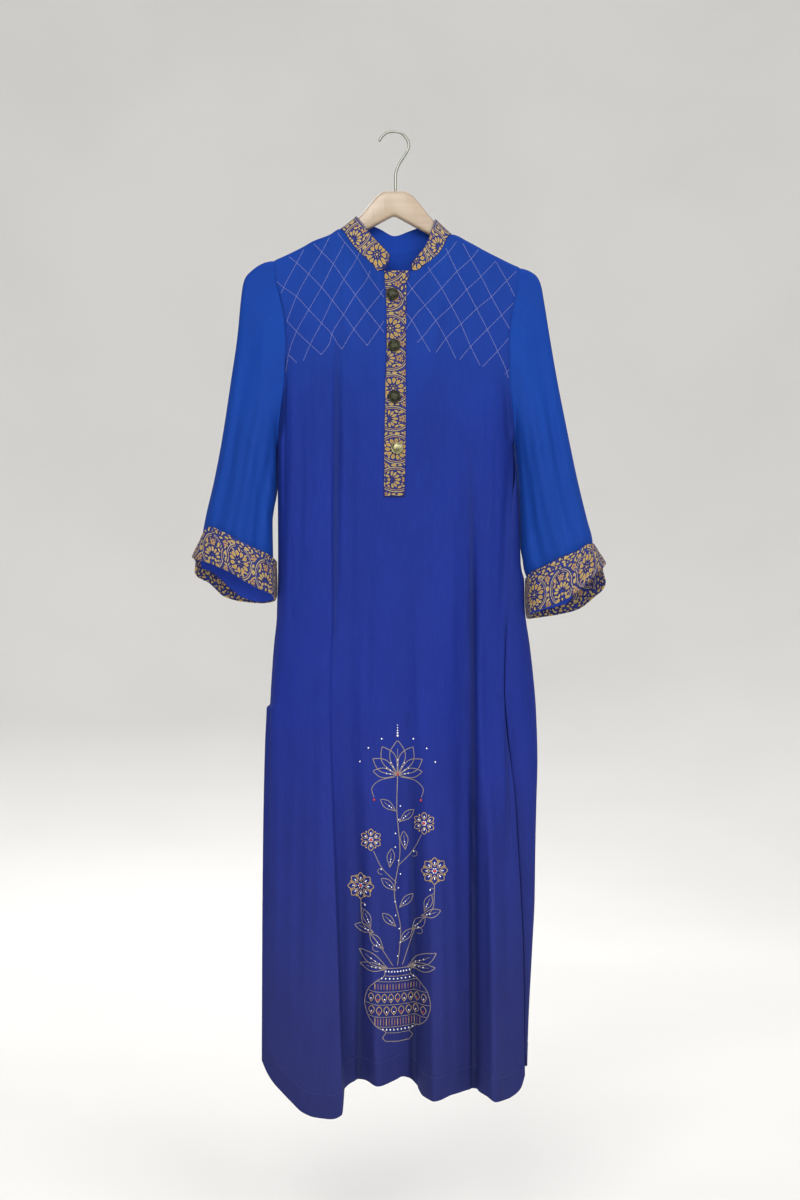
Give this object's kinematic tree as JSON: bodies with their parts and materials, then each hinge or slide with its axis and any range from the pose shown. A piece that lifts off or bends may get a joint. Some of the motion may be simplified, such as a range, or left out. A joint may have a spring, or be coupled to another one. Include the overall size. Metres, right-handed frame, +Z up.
{
  "type": "kurti on a hanger",
  "caption": "Long royal blue kurti with stand collar, printed placket and turned-back printed cuffs, side slits and uneven hem, hanging on a wooden hanger.",
  "frame": {"origin": "the inside top of the hanger hook, where the hook rests on a rail", "axes": "+Z up, +X to the viewer's right (the wearer's left side), the front of the kurti faces -Y"},
  "size_m": [0.537, 0.1238, 1.2661],
  "materials": {
    "kurti_cloth": "soft royal blue woven cloth with a slight sheen",
    "floral_print": "gold floral block print on dark blue cloth",
    "button_bronze": "dark polished bronze",
    "button_gold": "polished gold colour",
    "hanger_wood": "pale wood, satin varnish",
    "hook_steel": "bright steel wire"
  },
  "bodies": {
    "root": {"front_panel": "kurti_cloth", "back_panel": "kurti_cloth", "sleeve_left": "kurti_cloth", "sleeve_right": "kurti_cloth", "cuff_left": "floral_print", "cuff_right": "floral_print", "collar_band": "floral_print", "placket": "floral_print", "button_1": "button_bronze", "button_2": "button_bronze", "button_3": "button_bronze", "button_4": "button_gold", "hanger_body": "hanger_wood", "hanger_hook": "hook_steel"}
  },
  "joints": []
}
